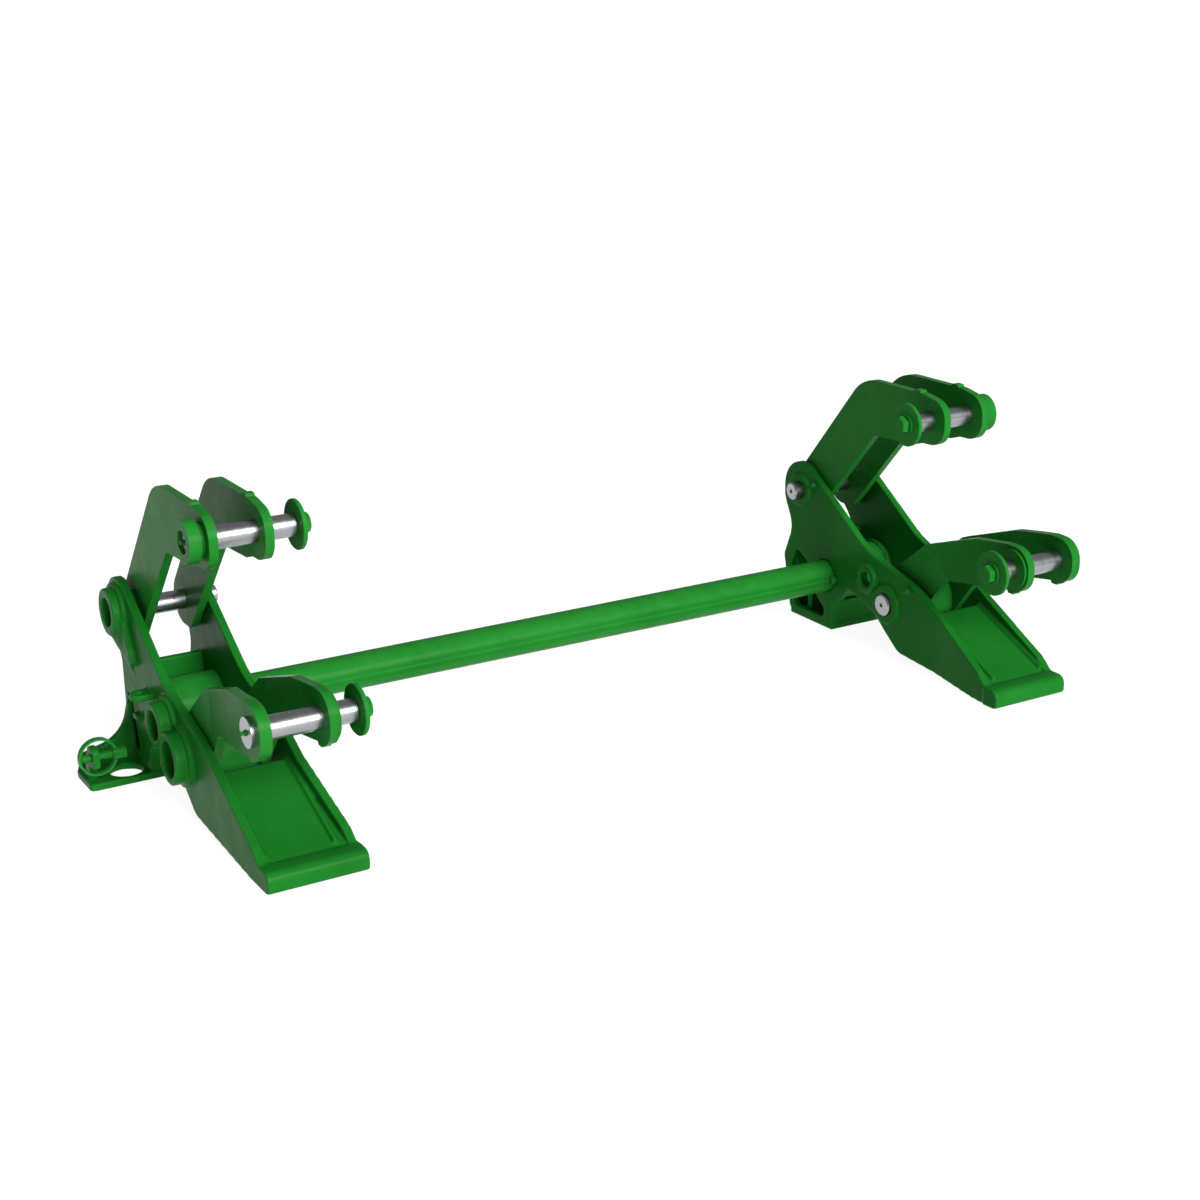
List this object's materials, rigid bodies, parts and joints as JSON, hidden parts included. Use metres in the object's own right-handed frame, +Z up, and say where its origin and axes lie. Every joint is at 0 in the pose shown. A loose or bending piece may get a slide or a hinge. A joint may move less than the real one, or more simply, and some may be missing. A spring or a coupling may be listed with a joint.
{
  "type": "loader quick coupler",
  "caption": "Loader quick coupler: mirrored wedge-nosed carriers on a cross tube, each with hinged upper and lower links holding front pins, and a foot with a lock hole.",
  "frame": {"origin": "on the ground under the middle of the whole coupler, centred left to right and front to back", "axes": "+X along the cross tube, -Y towards the noses and the loader, +Z up"},
  "size_m": [1.449, 0.564, 0.428],
  "materials": {
    "green_paint": "gloss green enamel over castings and plate",
    "painted_hardware": "gloss green enamel over fasteners and lynch pins",
    "bright_steel": "ground bright steel pins"
  },
  "bodies": {
    "carrier": {"cross_tube": "green_paint", "left_outer_cheek": "green_paint", "left_inner_cheek": "green_paint", "left_nose_wedge": "green_paint", "left_foot": "green_paint", "left_tube_key": "green_paint", "left_torque_sleeve": "green_paint", "left_upper_pivot_pin": "bright_steel", "left_lower_pivot_pin": "bright_steel", "left_lynch_pin": "painted_hardware", "right_outer_cheek": "green_paint", "right_inner_cheek": "green_paint", "right_nose_wedge": "green_paint", "right_foot": "green_paint", "right_tube_key": "green_paint", "right_torque_sleeve": "green_paint", "right_upper_pivot_pin": "bright_steel", "right_lower_pivot_pin": "bright_steel", "right_lynch_pin": "painted_hardware"},
    "left_upper_link": {"left_upper_link_inner": "green_paint", "left_upper_link_outer": "green_paint", "left_upper_spacer_inner": "green_paint", "left_upper_spacer_outer": "green_paint", "left_upper_front_pin": "bright_steel", "left_upper_front_pin_keeper": "green_paint", "left_upper_front_pin_washer": "painted_hardware", "left_upper_front_pin_bolt": "painted_hardware", "left_upper_front_pin_grease_fitting": "painted_hardware"},
    "left_lower_link": {"left_lower_link_inner": "green_paint", "left_lower_link_outer": "green_paint", "left_lower_hub": "green_paint", "left_lower_spacer": "green_paint", "left_lower_front_pin": "bright_steel", "left_lower_front_pin_keeper": "green_paint", "left_lower_front_pin_washer": "painted_hardware", "left_lower_front_pin_bolt": "painted_hardware", "left_lower_front_pin_grease_fitting": "painted_hardware"},
    "left_lynch_ring": {"left_lynch_ring": "painted_hardware"},
    "right_upper_link": {"right_upper_link_inner": "green_paint", "right_upper_link_outer": "green_paint", "right_upper_spacer_inner": "green_paint", "right_upper_spacer_outer": "green_paint", "right_upper_front_pin": "bright_steel", "right_upper_front_pin_keeper": "green_paint", "right_upper_front_pin_washer": "painted_hardware", "right_upper_front_pin_bolt": "painted_hardware", "right_upper_front_pin_grease_fitting": "painted_hardware"},
    "right_lower_link": {"right_lower_link_inner": "green_paint", "right_lower_link_outer": "green_paint", "right_lower_hub": "green_paint", "right_lower_spacer": "green_paint", "right_lower_front_pin": "bright_steel", "right_lower_front_pin_keeper": "green_paint", "right_lower_front_pin_washer": "painted_hardware", "right_lower_front_pin_bolt": "painted_hardware", "right_lower_front_pin_grease_fitting": "painted_hardware"},
    "right_lynch_ring": {"right_lynch_ring": "painted_hardware"}
  },
  "joints": [
    {"name": "left_upper_link_pivot", "type": "hinge", "parent": "carrier", "child": "left_upper_link", "pos_m": [-0.571, 0.236, 0.216], "axis": [1, 0, 0], "range_deg": [-75, 8]},
    {"name": "left_lower_link_pivot", "type": "hinge", "parent": "carrier", "child": "left_lower_link", "pos_m": [-0.571, 0.007, 0.0835], "axis": [1, 0, 0], "range_deg": [-22, 2.5]},
    {"name": "left_lynch_ring_hinge", "type": "hinge", "parent": "carrier", "child": "left_lynch_ring", "pos_m": [-0.674, 0.159, 0.044], "axis": [0, 0, 1], "range_deg": [0, 120]},
    {"name": "right_upper_link_pivot", "type": "hinge", "parent": "carrier", "child": "right_upper_link", "pos_m": [0.571, 0.236, 0.216], "axis": [1, 0, 0], "range_deg": [-75, 8]},
    {"name": "right_lower_link_pivot", "type": "hinge", "parent": "carrier", "child": "right_lower_link", "pos_m": [0.571, 0.007, 0.0835], "axis": [1, 0, 0], "range_deg": [-22, 2.5]},
    {"name": "right_lynch_ring_hinge", "type": "hinge", "parent": "carrier", "child": "right_lynch_ring", "pos_m": [0.674, 0.159, 0.044], "axis": [0, 0, -1], "range_deg": [0, 120]}
  ]
}
